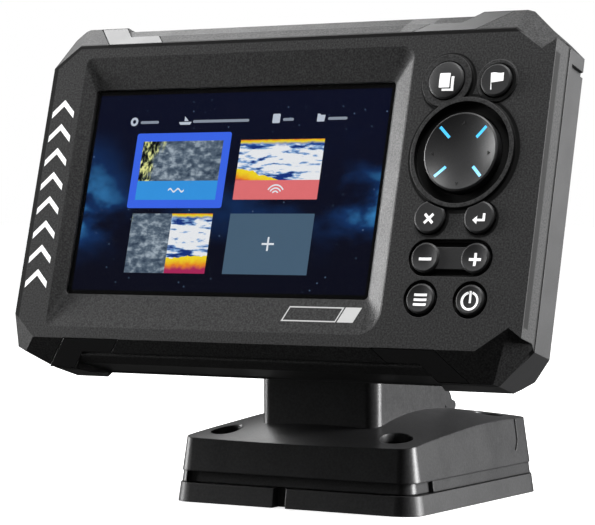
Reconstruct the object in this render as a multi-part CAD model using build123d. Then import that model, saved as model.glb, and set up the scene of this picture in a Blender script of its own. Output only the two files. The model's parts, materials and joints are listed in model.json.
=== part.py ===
"""Marine chartplotter: display head with keypad on a tilting, swivelling quick-release dash bracket.

Row frame: millimetres, +X to the right of a person facing the screen, -Y towards that person, +Z up.
The origin is the centre of the bracket's underside. The head is drawn in a frame of its own (X right, Y depth
behind the front face, Z up the face, origin at the face's centre) and then leaned back onto the bracket.
"""
from build123d import *
from math import cos, hypot, radians, sin, sqrt, tan
import os

# ---- driving dimensions (mm, degrees) -----------------------------------------------------------------
# head placement
LEAN = 15.12                      # how far the head leans back at rest
FACE_CENTRE = (0, -53.9, 99.2)    # centre of the front face in the row frame

# front face and bezel ring
FACE_HALF_W = 90.2
FACE_HALF_H = 48.6
BAND_SLOPE = 1.1                  # rise per depth of the band that frames the face above and below
BUMPER_H = 56.8                   # half height over the corner bumpers
CREASE_Y = 3.4                    # depth where the middle of the band steps back
TOP_MID_H = 55.5                  # top of the head between its bumpers
BOTTOM_MID_H = 54.6               # underside between the bumpers
SEAM_Y = 9.2                      # bezel ends and rear housing starts
WALL = 2.4
FRONT_WALL = 2.2
BUMPER_MID_U = -3.5               # bumpers and corner trims are set out about this line
BUMPER_IN, BUMPER_SEAM = 60.0, 65.0   # half gap between the bumpers at the crease and at the seam
TOP_BUMPER_BACK, BOTTOM_BUMPER_BACK = 65.0, 61.0   # the same at the back of the rim

# corner facets of the bezel: front edge A-B, back point(s)
TOP_LEFT_FACET = ((-81.0, 0, 48.6), (-89.6, 0, 41.6), (-87.0, 7.5, 54.2))
BOTTOM_LEFT_FACET = ((-81.6, 0, -48.6), (-90.0, 0, -41.3), (-85.8, 3.2, -52.1))
BOTTOM_LEFT_BEVEL = ((-76.5, -56.8), (-90.2, -51.0))   # runs from the band to the back of the rim
TOP_RIGHT = {"a": (76.8, 0, 48.4), "b": (85.7, 0, 42.1),
             "c": (76.4, 7.5, 56.4), "e": (90.3, 9.2, 45.2)}
BOTTOM_RIGHT = {"a": (75.8, 0, -48.7), "b": (85.8, 0, -41.5),
                "c": (79.5, 7.4, -56.4), "e": (90.3, 9.2, -46.2)}
EAR_RISE = 3.0                    # the face's ear rises again past point b

# screen
WINDOW_U, WINDOW_V = -18.5, 0.3
WINDOW_W, WINDOW_H = 111.0, 67.8
RECESS = (-77.6, 43.9, -44.9, 44.3)   # outer edge of the sloped recess: left, right, bottom, top
RECESS_CORNER_R = (2.5, 2.5, 8.0, 4.0)   # top left, bottom left, bottom right, top right
RECESS_DEPTH = 3.0
GLASS_Y = 3.8
GLASS_T = 1.5
GLASS_W, GLASS_H = 118.0, 74.4
PANEL_W, PANEL_H = 120.6, 75.6
GASKET_T = 0.5
PANEL_T = 1.5
BACKLIGHT_T = 3.2
CHASSIS_T = 1.0

# keys: centre across, centre up, cap radius, rim height, centre height (heights stand out of the face)
KEY_GAP = 0.35
KEY_FLANGE = 0.9
PAGE_KEY = (56.2, 32.7, 5.8, 1.5, 2.2)
WAYPOINT_KEY = (72.6, 32.4, 5.0, 1.3, 1.2)
EXIT_KEY = (56.2, -9.1, 4.95, 1.1, 1.0)
ENTER_KEY = (72.5, -9.1, 4.85, 1.1, 1.0)
MENU_KEY = (56.2, -33.5, 4.5, 0.4, -0.2)
POWER_KEY = (72.4, -33.6, 4.5, 0.4, -0.2)
WELL_R = 5.6                      # recess round the menu, power and zoom keys
WELL_DEPTH = 1.2
ZOOM_V, ZOOM_LEFT, ZOOM_RIGHT, ZOOM_R = -21.2, 56.2, 72.5, 4.5
ZOOM_BAR_H = 6.6
PAD_U, PAD_V = 64.0, 10.6
PAD_R, PAD_HOLE_R, PAD_GROOVE_R, PAD_COLLAR_R = 12.0, 12.45, 15.6, 17.3
PAGE_COLLAR_R = 8.6
COLLAR_H = 0.8

# rear housing
FLANGE_Y = 20.0
SEAM_GROOVE = 0.6
REAR_Y = 34.0
REAR_HALF_W = 71.0
REAR_TOP, REAR_BOTTOM = 43.0, -41.0
SCREW_U, SCREW_V = 84.2, 32.0
BEZEL_BOSS_R, REAR_BOSS_R = 3.0, 4.2
SOCKET_V = -4.0
POWER_U, POWER_R = -47.0, 8.0
SONAR_U, SONAR_R = 47.0, 9.2
SOCKET_LENGTH = 9.0

# quick-release rail
RAIL_HALF = 14.7                  # half width of the rail's stem
RAIL_HEAD_HALF = 17.7
RAIL_GAP = 0.3
RAIL_BOTTOM, RAIL_TOP = -37.0, 8.6
RAIL_Y = 30.8
RAIL_STEP_Y = 32.2
CRADLE_Y = 34.6
CRADLE_T = 5.4

# bracket
BASE_W = 88.4
BASE_CORNER_R = 7.0
DRAFT = 8.0                       # degrees, all round
PLATE_T = 6.0
COVER_HALF = 40.8                 # half width of the cover at its upper edge
COVER_Z = 9.8                     # lower edge of the cover above the shadow groove
GROOVE_DEPTH = 1.8                # at the front; elsewhere the cover's skirt is nearly flush
SKIRT_INSET = 0.4
SWIVEL_GAP = 0.3
SCREW_PITCH = 62.0
SCREW_HOLE_R = 2.3
SCREW_WELL_R = 5.2
NECK_HALF_W = 21.4
NECK_FRONT, NECK_BACK = -26.9, 19.4
NECK_CORNER_R = 4.0
PIVOT_R = 6.0
RUN = 0.05                        # radial clearance of a running fit
TILT_Y, TILT_Z = -8.0, 66.0
TILT_BOLT_R = 3.0
BOSS_R = 10.0
CHEEK_IN = 12.3
KNUCKLE_HALF, KNUCKLE_R = 11.4, 9.4
LEVER_Y, LEVER_Z = 26.4, 43.0
LEVER_PIN_R = 1.2
LEVER_LOW = 26.6
LEVER_BACK = 35.4

DRAFT_RUN = tan(radians(DRAFT))
HEAD = Location(FACE_CENTRE, (-LEAN, 0, 0))
parts = {}


# ---- small makers ---------------------------------------------------------------------------------------
def box(x0, x1, y0, y1, z0, z1):
    return Pos((x0 + x1) / 2, (y0 + y1) / 2, (z0 + z1) / 2) * Box(x1 - x0, y1 - y0, z1 - z0)


def rod_x(y, z, r, x0, x1):
    return Pos((x0 + x1) / 2, y, z) * Rot(0, 90, 0) * Cylinder(r, x1 - x0)


def rod_y(x, z, r, y0, y1):
    return Pos(x, (y0 + y1) / 2, z) * Rot(90, 0, 0) * Cylinder(r, y1 - y0)


def rod_z(x, y, r, z0, z1):
    return Pos(x, y, (z0 + z1) / 2) * Cylinder(r, z1 - z0)


def slab(width, height, y0, y1):
    """Layer of the display, centred on the window."""
    half_w, half_h = width / 2, height / 2
    return Pos(WINDOW_U, 0, WINDOW_V) * box(-half_w, half_w, y0, y1, -half_h, half_h)


def outline(points):
    return make_face(Polyline(*points, close=True))


def prism_x(points, x0, x1):
    """Outline of (y, z) points, run along X."""
    return extrude(Plane.YZ.offset(x0) * outline(points), x1 - x0, dir=(1, 0, 0))


def prism_y(points, y0, y1):
    """Outline of (x, z) points, run along Y."""
    return extrude(Plane.XZ.offset(-y0) * outline(points), y1 - y0, dir=(0, 1, 0))


def prism_z(points, z0, z1):
    """Outline of (x, y) points, run along Z."""
    return extrude(Pos(0, 0, z0) * outline(points), z1 - z0, dir=(0, 0, 1))


def plane_through(points, inset):
    """Plane through three points with its normal away from the middle of the head, moved in by inset."""
    a, b, c = (Vector(*p) for p in points)
    normal = (b - a).cross(c - a).normalized()
    if normal.dot(a) < 0:
        normal = normal * -1
    return Plane(origin=a - normal * inset, z_dir=normal)


def cut_away(solid, points, inset=0.0):
    return split(solid, bisect_by=plane_through(points, inset), keep=Keep.BOTTOM)


def cut_bevel(solid, ends, inset):
    """Cuts along a plane that runs straight back through two (across, up) points."""
    (u0, v0), (u1, v1) = ends
    return cut_away(solid, ((u0, 0, v0), (u1, 0, v1), (u0, 30, v0)), inset)


def on_head(name, shape):
    parts[name] = HEAD * shape


def screw_bosses():
    return [(u, v) for u in (-SCREW_U, SCREW_U) for v in (-SCREW_V, SCREW_V)]


# ---- bezel ----------------------------------------------------------------------------------------------
def bezel_block(inset, back):
    """Solid form of the bezel ring with its corner facets, all faces moved in by inset."""
    drop = inset * sqrt(1 + BAND_SLOPE ** 2)
    front_y = FRONT_WALL if inset else 0
    low = FACE_HALF_H - drop + front_y * BAND_SLOPE
    high = BUMPER_H - inset * 2
    turn_y = front_y + (high - low) / BAND_SLOPE
    half = [(front_y, low), (turn_y, high), (back, high)]
    profile = half + [(y, -z) for y, z in reversed(half)]
    block = prism_x(profile, inset - FACE_HALF_W, FACE_HALF_W - inset)
    block = cut_away(block, TOP_LEFT_FACET, inset)
    block = cut_away(block, BOTTOM_LEFT_FACET, inset)
    block = cut_bevel(block, BOTTOM_LEFT_BEVEL, inset)
    for corner in (TOP_RIGHT, BOTTOM_RIGHT):
        a, b, c, e = (corner[key] for key in "abce")
        block = cut_away(block, (a, b, c), inset)
        block = cut_away(block, (b, e, c), inset)
    return block


def face_ear(corner, way):
    """Sliver of the face that rises again between facet point b and the side wall."""
    u, _, v = corner["b"]
    edge = FACE_HALF_W
    ear = [(u, v), (edge, v + way * EAR_RISE), (edge, v - way * 6), (u, v - way * 6)]
    return prism_y(ear, 0, SEAM_Y)


def middle_gap(z_points, bumper_back):
    """Space over or under the middle of the head, between the slanted flanks of the bumpers."""
    half = [(BUMPER_IN, 3), (BUMPER_SEAM, 7.5), (BUMPER_SEAM, SEAM_Y), (bumper_back, FLANGE_Y),
            (bumper_back, SEAM_Y + 40)]
    plan = [(BUMPER_MID_U - u, y) for u, y in half] + [(BUMPER_MID_U + u, y) for u, y in reversed(half)]
    return prism_z(plan, -70, 70) & prism_x(z_points, -90, 90)


def bezel_middle_gaps():
    crease = FACE_HALF_H + CREASE_Y * BAND_SLOPE
    top = [(CREASE_Y, crease - 0.3), (CREASE_Y + 0.4, crease), (7.6, TOP_MID_H), (12, TOP_MID_H),
           (12, 62), (CREASE_Y, 62)]
    bottom = [(CREASE_Y, -crease + 0.9), (CREASE_Y + 0.6, -crease + 0.9), (CREASE_Y + 0.6, -53.3),
              (SEAM_Y, -BOTTOM_MID_H), (12, -BOTTOM_MID_H), (12, -62), (CREASE_Y, -62)]
    return middle_gap(top, TOP_BUMPER_BACK) + middle_gap(bottom, BOTTOM_BUMPER_BACK)


def recess_cutter():
    """Sloped recess from the face down to the window."""
    left, right, bottom, top = RECESS
    corners = [(left, top), (left, bottom), (right, bottom), (right, top)]
    outer = Plane.XZ * outline(corners)
    for (u, v), r in zip(corners, RECESS_CORNER_R):
        near = min(outer.vertices(), key=lambda p: hypot(p.X - u, p.Z - v))
        outer = fillet(near, r)
    inner = Pos(WINDOW_U, RECESS_DEPTH, WINDOW_V) * (Plane.XZ * RectangleRounded(WINDOW_W, WINDOW_H, 1.5))
    hole = extrude(Pos(0, 1.0, 0) * inner, 1.2, both=True)
    return loft([outer.face(), inner.face()], ruled=True) + hole


def collar(u, v, r):
    """Low raised ring stock round a key, with a sloped flank."""
    return Pos(u, -COLLAR_H / 2, v) * Rot(90, 0, 0) * Cone(r, r - 0.5, COLLAR_H)


def capsule(r, y0, y1):
    body = rod_y(ZOOM_LEFT, ZOOM_V, r, y0, y1) + rod_y(ZOOM_RIGHT, ZOOM_V, r, y0, y1)
    return body + box(ZOOM_LEFT, ZOOM_RIGHT, y0, y1, ZOOM_V - r, ZOOM_V + r)


def key_openings():
    """Openings for all the keys; the three round the pad stop at the outside of its collar."""
    cut = rod_y(*PAGE_KEY[:2], PAGE_KEY[2] + KEY_GAP, -3, 6)
    for u, v, r, _, _ in (WAYPOINT_KEY, EXIT_KEY, ENTER_KEY):
        cut += rod_y(u, v, r + KEY_GAP, -3, 6)
    cut -= rod_y(PAD_U, PAD_V, PAD_COLLAR_R, -3, FRONT_WALL)
    cut += rod_y(PAD_U, PAD_V, PAD_HOLE_R, -3, 6) + rod_y(PAD_U, PAD_V, PAD_GROOVE_R, -3, WELL_DEPTH)
    for u, v, r, _, _ in (MENU_KEY, POWER_KEY):
        cut += rod_y(u, v, r + KEY_GAP, -3, 6) + rod_y(u, v, WELL_R, -3, WELL_DEPTH)
    cut += capsule(ZOOM_R + KEY_GAP, -3, 6) + capsule(WELL_R, -3, WELL_DEPTH)
    return cut


def front_bezel():
    shell = bezel_block(0, SEAM_Y)
    for corner, way in ((TOP_RIGHT, 1), (BOTTOM_RIGHT, -1)):
        shell += face_ear(corner, way) & box(0, FACE_HALF_W, 0, SEAM_Y, -48, 48)
    shell -= bezel_middle_gaps()
    shell -= bezel_block(WALL, SEAM_Y + 1)
    land = box(WINDOW_U - 63.9, WINDOW_U + 64.1, 2, 5.6, -46.2, 46.2)
    shell += land & bezel_block(1.0, SEAM_Y)
    for u, v in screw_bosses():
        shell += rod_y(u, v, BEZEL_BOSS_R, 2, SEAM_Y)
        shell -= rod_y(u, v, 1.25, 4, SEAM_Y + 1)
    shell += collar(PAD_U, PAD_V, PAD_COLLAR_R) + collar(PAGE_KEY[0], PAGE_KEY[1], PAGE_COLLAR_R)
    shell += collar(WAYPOINT_KEY[0], WAYPOINT_KEY[1], 6.7) & box(0, 90, -0.4, 0, -50, 50)
    shell -= recess_cutter()
    shell -= key_openings()
    return shell - slab(GLASS_W + 0.4, GLASS_H + 0.4, GLASS_Y, GLASS_Y + GLASS_T + 1)


def trim_outline(side, up):
    """L-shaped corner trim in the plane of the band: across, and distance up the band."""
    stretch = sqrt(1 + BAND_SLOPE ** 2)
    shape = [(45.1, 0), (66.3, 0), (75.6, 7.4), (65.2, 7.4), (60.2, CREASE_Y), (49.4, CREASE_Y)]
    return outline([(up * (side * u + BUMPER_MID_U), y * stretch) for u, y in shape])


def band_plane(up):
    """Plane of the band above (up = 1) or below (up = -1) the face; local y runs back along the band."""
    return Plane(origin=(0, 0, up * FACE_HALF_H), x_dir=(up, 0, 0), z_dir=(0, -BAND_SLOPE, up))


def add_trims(bezel):
    """Lets the four corner trims into the bezel, each with a shadow gap round it."""
    for up, high in ((1, "top"), (-1, "bottom")):
        inward = band_plane(up).z_dir * -1
        for side, hand in ((-1, "left"), (1, "right")):
            face = trim_outline(side, up)
            bezel -= extrude(band_plane(up) * face, 1.0, both=True)
            on_head(f"trim_{high}_{hand}", extrude(band_plane(up) * offset(face, -0.25), 1.0, dir=inward))
    return bezel


# ---- keys and keypad ------------------------------------------------------------------------------------
def dished_cap(r, rim, centre, back):
    """Key cap: rim and centre heights above the face, with a gently curved top and a broken edge."""
    edge = r - 0.5
    top = ThreePointArc((0, -centre), (edge / 2, -(centre + (rim - centre) * 0.25)), (edge, -rim))
    rest = Polyline((edge, -rim), (r, 0.4 - rim), (r, back), (0, back), (0, -centre))
    return revolve(make_face(top + rest), Axis.Y)


def round_key(u, v, r, rim, centre):
    cap = Pos(u, 0, v) * dished_cap(r, rim, centre, 2.6)
    return cap + rod_y(u, v, r + KEY_FLANGE, 2.6, 3.4)


def pad_collar_cut():
    return rod_y(PAD_U, PAD_V, PAD_COLLAR_R + 0.3, -3, 3.8)


def zoom_rocker():
    """Two dished ends joined by a lower bar; it rocks about a line up the face through its middle."""
    ends = Pos(ZOOM_LEFT, 0, ZOOM_V) * dished_cap(ZOOM_R, 0.5, -0.1, 3.1)
    ends += Pos(ZOOM_RIGHT, 0, ZOOM_V) * dished_cap(ZOOM_R, 0.5, -0.1, 3.1)
    half = ZOOM_BAR_H / 2
    bar = box(ZOOM_LEFT, ZOOM_RIGHT, 0.3, 3.1, ZOOM_V - half, ZOOM_V + half)
    return ends + bar + capsule(ZOOM_R + KEY_FLANGE, 3.1, 3.8)


def light_bars():
    """Four slim prisms on the diagonals of the direction pad."""
    return [Rot(0, 45 + 90 * k, 0) * box(6.3, 10.7, -3, 0.2, -0.45, 0.45) for k in range(4)]


def pad_parts():
    cap = dished_cap(PAD_R, 1.6, 0.5, 3.3)
    cap += rod_y(0, 0, PAD_R + 1.0, 3.3, 4.1) + rod_y(0, 0, 3.2, 4.1, 5.6)
    guides = [(cap & bar).solid() for bar in light_bars()]
    for bar in light_bars():
        cap -= bar
    here = Pos(PAD_U, 0, PAD_V)
    on_head("dpad_cap", here * cap)
    on_head("dpad_light_guide", here * Compound(guides))
    on_head("dpad_actuator", here * (rod_y(0, 0, 7.6, 4.9, 5.9) - rod_y(0, 0, 4.2, 4.0, 7.0)))


def keypad_keys():
    on_head("page_key", round_key(*PAGE_KEY))
    on_head("waypoint_key", round_key(*WAYPOINT_KEY) - pad_collar_cut())
    on_head("exit_key", round_key(*EXIT_KEY) - pad_collar_cut())
    on_head("enter_key", round_key(*ENTER_KEY) - pad_collar_cut())
    on_head("menu_key", round_key(*MENU_KEY))
    on_head("power_key", round_key(*POWER_KEY))
    on_head("zoom_rocker", zoom_rocker())
    pad_parts()


def keypad_stack():
    """Silicone mat with its domes, and the keypad's circuit board."""
    mat = box(48.5, 80.4, 4.9, 5.7, -41.0, 41.5) - rod_y(PAD_U, PAD_V, 14.6, 4, 6)
    on_head("keypad_mat", mat)
    centres = [key[:2] for key in (PAGE_KEY, WAYPOINT_KEY, EXIT_KEY, ENTER_KEY, MENU_KEY, POWER_KEY)]
    centres += [(ZOOM_LEFT, ZOOM_V), (ZOOM_RIGHT, ZOOM_V)]
    domes = [rod_y(u, v, 2.5, 5.7, 6.6) for u, v in centres]
    domes += [rod_y(PAD_U + du, PAD_V + dv, 2.0, 6.35, 6.6) for du, dv in ((6, 0), (-6, 0), (0, 6), (0, -6))]
    on_head("key_domes", Compound([dome.solid() for dome in domes]))
    on_head("keypad_board", box(48.5, 80.4, 6.6, 8.2, -41.0, 41.5))
    on_head("keypad_flex", prism_x([(8.2, -38), (15, -38), (15, -37.7), (8.2, -37.7)], 50, 62))


# ---- display and electronics ----------------------------------------------------------------------------
def display_stack():
    y = GLASS_Y
    on_head("display_window", slab(GLASS_W, GLASS_H, y, y + GLASS_T))
    y += GLASS_T
    on_head("window_gasket", slab(GLASS_W, GLASS_H, y, y + GASKET_T) - slab(112, 70, y - 1, y + 2))
    y += GASKET_T
    on_head("lcd_panel", slab(PANEL_W, PANEL_H, y, y + PANEL_T))
    y += PANEL_T
    on_head("lcd_backlight", slab(PANEL_W, PANEL_H, y, y + BACKLIGHT_T))
    y += BACKLIGHT_T
    on_head("lcd_chassis", slab(PANEL_W, PANEL_H + 8, y, y + CHASSIS_T))
    low = WINDOW_V - PANEL_H / 2 - 0.1
    on_head("lcd_flex", prism_x([(8.6, low), (8.6, -42.0), (15.0, -42.0), (15.0, -41.7), (8.9, -41.7),
                                 (8.9, low)], -35, -5))


def electronics():
    board = box(-79.6, 79.6, 15.0, 16.6, -43, 43)
    standoffs = [(u, v) for u in (-74, 74) for v in (-38, 38)]
    for u, v in standoffs:
        board -= rod_y(u, v, 1.7, 14, 18)
    on_head("main_board", board)
    screws = [rod_y(u, v, 1.5, 13.2, 22.0) + rod_y(u, v, 2.8, 12.0, 15.0) for u, v in standoffs]
    on_head("board_screws", Compound([screw.solid() for screw in screws]))
    on_head("processor_shield", box(-20, 18, 16.6, 20.0, 12, 38))
    on_head("gps_antenna", box(50, 70, 10.6, 15.0, 22, 42) - rod_y(60, 32, 1.2, 10, 11))
    on_head("buzzer", rod_y(52, -24, 5.5, 16.6, 21.0) - rod_y(52, -24, 1.2, 20, 22))


# ---- rear housing ---------------------------------------------------------------------------------------
def rear_block(inset):
    """Solid form of the rear housing: a deep rim, then flanks sloping to the raised back."""
    front = SEAM_Y - (1 if inset else 0)
    rim, back = FLANGE_Y, REAR_Y - inset
    profile = [(front, -BUMPER_H + inset), (front, BUMPER_H - inset), (rim, BUMPER_H - inset),
               (rim + 2, BUMPER_H - 1.8 - inset), (back, REAR_TOP - inset), (back, REAR_BOTTOM + inset),
               (rim + 2, 1.8 + inset - BUMPER_H), (rim, inset - BUMPER_H)]
    block = prism_x(profile, inset - FACE_HALF_W, FACE_HALF_W - inset)
    for side in (-1, 1):
        edge = side * FACE_HALF_W
        flank = ((edge, rim, 0), (edge, rim, 10), (side * REAR_HALF_W, REAR_Y, 0))
        block = cut_away(block, flank, inset)
    for ends in (((-84.3, 56.8), (-90.2, 51.6)), BOTTOM_LEFT_BEVEL,
                 ((76.0, 56.8), (90.2, 45.0)), ((80.0, -56.8), (90.2, -46.4))):
        block = cut_bevel(block, ends, inset)
    return block


def rail_channel():
    """Undercut channel for the cradle's rail, open at its lower end, with a slot above it for the latch."""
    low, top = REAR_BOTTOM - 12, 9.0
    cut = box(-RAIL_HALF - RAIL_GAP, RAIL_HALF + RAIL_GAP, RAIL_STEP_Y - 1, REAR_Y + 1, low, top)
    wide = RAIL_HEAD_HALF + RAIL_GAP
    cut += box(-wide, wide, RAIL_Y - RAIL_GAP, RAIL_STEP_Y + RAIL_GAP, low, top)
    return cut + box(-5.5, 5.5, 31.8, REAR_Y + 1, top - 1, 19.2)


def clip_slot(side):
    """Slot near the top of the rim's side wall, open to the back."""
    x0, x1 = sorted((side * (FACE_HALF_W - 1.2), side * (FACE_HALF_W + 1)))
    return box(x0, x1, 12.0, FLANGE_Y + 2, 39.1, 40.9)


def rear_housing():
    shell = rear_block(0)
    gap = [(8, TOP_MID_H), (FLANGE_Y + 1.3, TOP_MID_H), (FLANGE_Y + 8, 62), (8, 62)]
    low = [(8, -BOTTOM_MID_H), (FLANGE_Y + 1.5, -BOTTOM_MID_H), (FLANGE_Y + 8, -62), (8, -62)]
    shell -= middle_gap(gap, TOP_BUMPER_BACK) + middle_gap(low, BOTTOM_BUMPER_BACK)
    shell -= rear_block(WALL)
    shell -= (rear_block(0) - rear_block(SEAM_GROOVE)) & box(-95, 95, SEAM_Y, SEAM_Y + 0.5, -60, 60)
    shell += box(-20.6, 20.6, 28.0, REAR_Y, REAR_BOTTOM, 21.5) & rear_block(0.0)
    for u in (-74, 74):
        for v in (-38, 38):
            post = rod_y(u, v, 3.4, 16.6, REAR_Y) & rear_block(0.5)
            shell += post
            shell -= rod_y(u, v, 1.5, 16, 22.0)
    for u, v in screw_bosses():
        shell += rod_y(u, v, REAR_BOSS_R, SEAM_Y, REAR_Y) & rear_block(0.2)
        shell -= rod_y(u, v, 2.9, 16.5, REAR_Y + 1) + rod_y(u, v, 1.6, 8, 20)
    for side in (-1, 1):
        shell -= clip_slot(side)
    shell -= rail_channel()
    shell -= rod_y(POWER_U, SOCKET_V, POWER_R, 25, 40) + rod_y(SONAR_U, SOCKET_V, SONAR_R, 25, 40)
    return shell - rod_y(-30, 30, 3.0, 25, 40)


def housing_gasket():
    """Cord seal between bezel and rear housing, a closed ring set in from the walls."""
    cord = 1.6
    ring = bezel_block(WALL, SEAM_Y) & box(-95, 95, SEAM_Y - 1.0, SEAM_Y, -60, 60)
    ring -= bezel_block(WALL + cord, SEAM_Y + 1)
    for u, v in screw_bosses():
        ring -= rod_y(u, v, BEZEL_BOSS_R, 0, SEAM_Y + 1)
    return ring


def socket(u, r, pins, ring_r):
    """Round bulkhead connector: flanged, keyed barrel, the insert on its floor and the pins in that."""
    back = REAR_Y + 1.2
    body = rod_y(u, SOCKET_V, r, 29.0, back + 2 + SOCKET_LENGTH) + rod_y(u, SOCKET_V, r + 2.4, back, back + 2)
    body -= rod_y(u, SOCKET_V, r - 1.6, back + 1, back + 3 + SOCKET_LENGTH)
    body -= box(u - 0.9, u + 0.9, back + 5, back + 3 + SOCKET_LENGTH, SOCKET_V + r - 2, SOCKET_V + r + 1)
    insert = rod_y(u, SOCKET_V, r - 1.6, back + 1, back + 2.5)
    places = [Rot(0, 360 / pins * k, 0) * Pos(ring_r, 0, 0) for k in range(pins)]
    rods = [Pos(u, 0, SOCKET_V) * place * rod_y(0, 0, 0.6, back + 1, back + 7) for place in places]
    for rod in rods:
        insert -= rod
    return body, insert, Compound([rod.solid() for rod in rods])


def connectors():
    power, power_insert, power_pins = socket(POWER_U, POWER_R, 4, 3.0)
    sonar, sonar_insert, sonar_pins = socket(SONAR_U, SONAR_R, 8, 4.4)
    on_head("power_insert", power_insert)
    on_head("sonar_insert", sonar_insert)
    on_head("power_socket", power)
    on_head("power_pins", power_pins)
    on_head("sonar_socket", sonar)
    on_head("sonar_pins", sonar_pins)
    seals = [rod_y(u, SOCKET_V, r + 1.8, REAR_Y, REAR_Y + 1.2) - rod_y(u, SOCKET_V, r, 33, 37)
             for u, r in ((POWER_U, POWER_R), (SONAR_U, SONAR_R))]
    on_head("socket_seals", Compound([seal.solid() for seal in seals]))
    on_head("breather_vent", rod_y(-30, 30, 3.0, 30.5, REAR_Y) + rod_y(-30, 30, 4.6, REAR_Y, REAR_Y + 1.0))


def housing_screws():
    screws = []
    for u, v in screw_bosses():
        screw = rod_y(u, v, 2.6, 16.5, 18.6) + rod_y(u, v, 1.25, 5.0, 16.6)
        socket_hex = extrude(Pos(u, 18.7, v) * (Plane.XZ * RegularPolygon(1.3, 6)), 1.3)
        screws.append((screw - socket_hex).solid())
    return Compound(screws)


# ---- cradle and latch -----------------------------------------------------------------------------------
def pin_on_head():
    """The tilt pin's place in the head's frame: depth and height."""
    lean = radians(LEAN)
    dy, dz = TILT_Y - FACE_CENTRE[1], TILT_Z - FACE_CENTRE[2]
    return dy * cos(lean) - dz * sin(lean), dy * sin(lean) + dz * cos(lean)


def cradle():
    pin_y, pin_v = pin_on_head()
    back = CRADLE_Y + CRADLE_T
    body = box(-19, 19, CRADLE_Y, back, RAIL_BOTTOM, 11.4)
    body += box(-RAIL_HALF, RAIL_HALF, RAIL_STEP_Y, CRADLE_Y, RAIL_BOTTOM, RAIL_TOP)
    body += box(-RAIL_HEAD_HALF, RAIL_HEAD_HALF, RAIL_Y, RAIL_STEP_Y, RAIL_BOTTOM, RAIL_TOP)
    body += box(-12, 12, CRADLE_Y, back + 1, 11.0, 22.5)
    body -= box(-8.2, 8.2, CRADLE_Y - 1, CRADLE_Y + 4.6, 11.6, 21.4)
    body -= box(-5.5, 5.5, CRADLE_Y + 4, back + 3, 12.8, 19.2)
    web = [(back - 1, pin_v - 14), (pin_y - 2, pin_v - KNUCKLE_R), (pin_y - 2, pin_v + KNUCKLE_R),
           (back - 1, pin_v + 15)]
    body += prism_x(web, -KNUCKLE_HALF, KNUCKLE_HALF)
    body += rod_x(pin_y, pin_v, KNUCKLE_R, -KNUCKLE_HALF, KNUCKLE_HALF)
    return body - rod_x(pin_y, pin_v, TILT_BOLT_R + RUN, -20, 20)


def latch_parts():
    """Spring-loaded catch above the rail: nose, flange inside the cradle, thumb tab behind it."""
    inside = CRADLE_Y + 0.8
    back = CRADLE_Y + CRADLE_T + 1
    latch = box(-5, 5, 32.4, back + 1, 13.3, 18.7)
    latch += box(-7.6, 7.6, inside, inside + 1, 12.2, 20.8)
    tab = [(back + 0.4, 11.8), (back + 4.2, 10.6), (back + 5.2, 11.4), (back + 3.2, 20.8), (back + 0.4, 20.8)]
    latch += prism_x(tab, -9.5, 9.5)
    on_head("head_latch", latch)
    strip = [(CRADLE_Y + 4.35, 12.0), (CRADLE_Y + 4.6, 12.0), (CRADLE_Y + 4.6, 21.0), (CRADLE_Y + 4.35, 21.0)]
    spring = prism_x(strip, -8, 8) - box(-5.6, 5.6, 30, 50, 12.7, 19.3)
    on_head("latch_spring", spring)


# ---- bracket --------------------------------------------------------------------------------------------
def drafted_block(inset, z0, z1):
    """Rounded square block with the bracket's draft, its faces moved in by inset."""
    side = BASE_W - 2 * inset - 2 * DRAFT_RUN * z0
    radius = max(BASE_CORNER_R - inset - DRAFT_RUN * z0, 1.5)
    return extrude(Pos(0, 0, z0) * RectangleRounded(side, side, radius), z1 - z0, taper=DRAFT)


def screw_places():
    half = SCREW_PITCH / 2
    return [(x, y) for x in (-half, half) for y in (-half, half)]


def dash_plate():
    plate = drafted_block(0, 0, PLATE_T)
    plate -= box(-5.9, -1.3, -50, -40.4, -1, PLATE_T + 1)
    plate -= extrude(Pos(0, 0, -0.5) * RectangleRounded(78, 78, 4), 1.5)
    plate -= rod_z(0, 0, 11.2, 0, 3.4)
    plate -= rod_z(0, 0, PIVOT_R + RUN, -1, 7)
    for x, y in screw_places():
        plate -= rod_z(x, y, SCREW_HOLE_R, -1, 7) + rod_z(x, y, 4.4, 3.6, 7)
    return plate


def base_pad():
    pad = extrude(RectangleRounded(77.6, 77.6, 3.8), 1.0)
    for x, y in screw_places():
        pad -= rod_z(x, y, 3.0, -1, 2)
    return pad


def crown(drop):
    """Space under the cover's domed top, lowered by drop: arched cross-sections at even steps along Y."""
    edges = (20.0, 21.1, 22.2, 23.1, 23.9, 24.4, 24.5, 24.4, 24.1)
    middles = (18.6, 22.3, 26.3, 28.9, 30.0, 29.8, 28.6, 27.0, 25.4)
    reach, step = 46.0, 11.5
    faces = []
    for k, (edge, middle) in enumerate(zip(edges, middles)):
        rise = (middle - edge) * (reach / COVER_HALF) ** 2
        low, top = middle - rise - drop, middle - drop
        arch = ThreePointArc((-reach, low), (0, top + 0.001), (reach, low))
        frame = Polyline((reach, low), (reach, 2), (-reach, 2), (-reach, low))
        faces.append(Pos(0, k * step - reach, 0) * (Plane.XZ * make_face(arch + frame)))
    return loft(faces)


def boss(r, x0, x1):
    return rod_x(TILT_Y, TILT_Z, r, x0, x1)


def neck():
    front, back = NECK_FRONT, NECK_BACK
    side = [(front, 16), (front, 43), (-17.8, 49.5), (TILT_Y - BOSS_R, TILT_Z), (TILT_Y + BOSS_R, TILT_Z),
            (12, 52), (back, 47), (back, 16)]
    body = prism_x(side, -NECK_HALF_W, NECK_HALF_W)
    corners = body.edges().filter_by(Axis.Z).group_by(Axis.Y)[0]
    return fillet(corners, NECK_CORNER_R) + boss(BOSS_R, -NECK_HALF_W, NECK_HALF_W)


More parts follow.
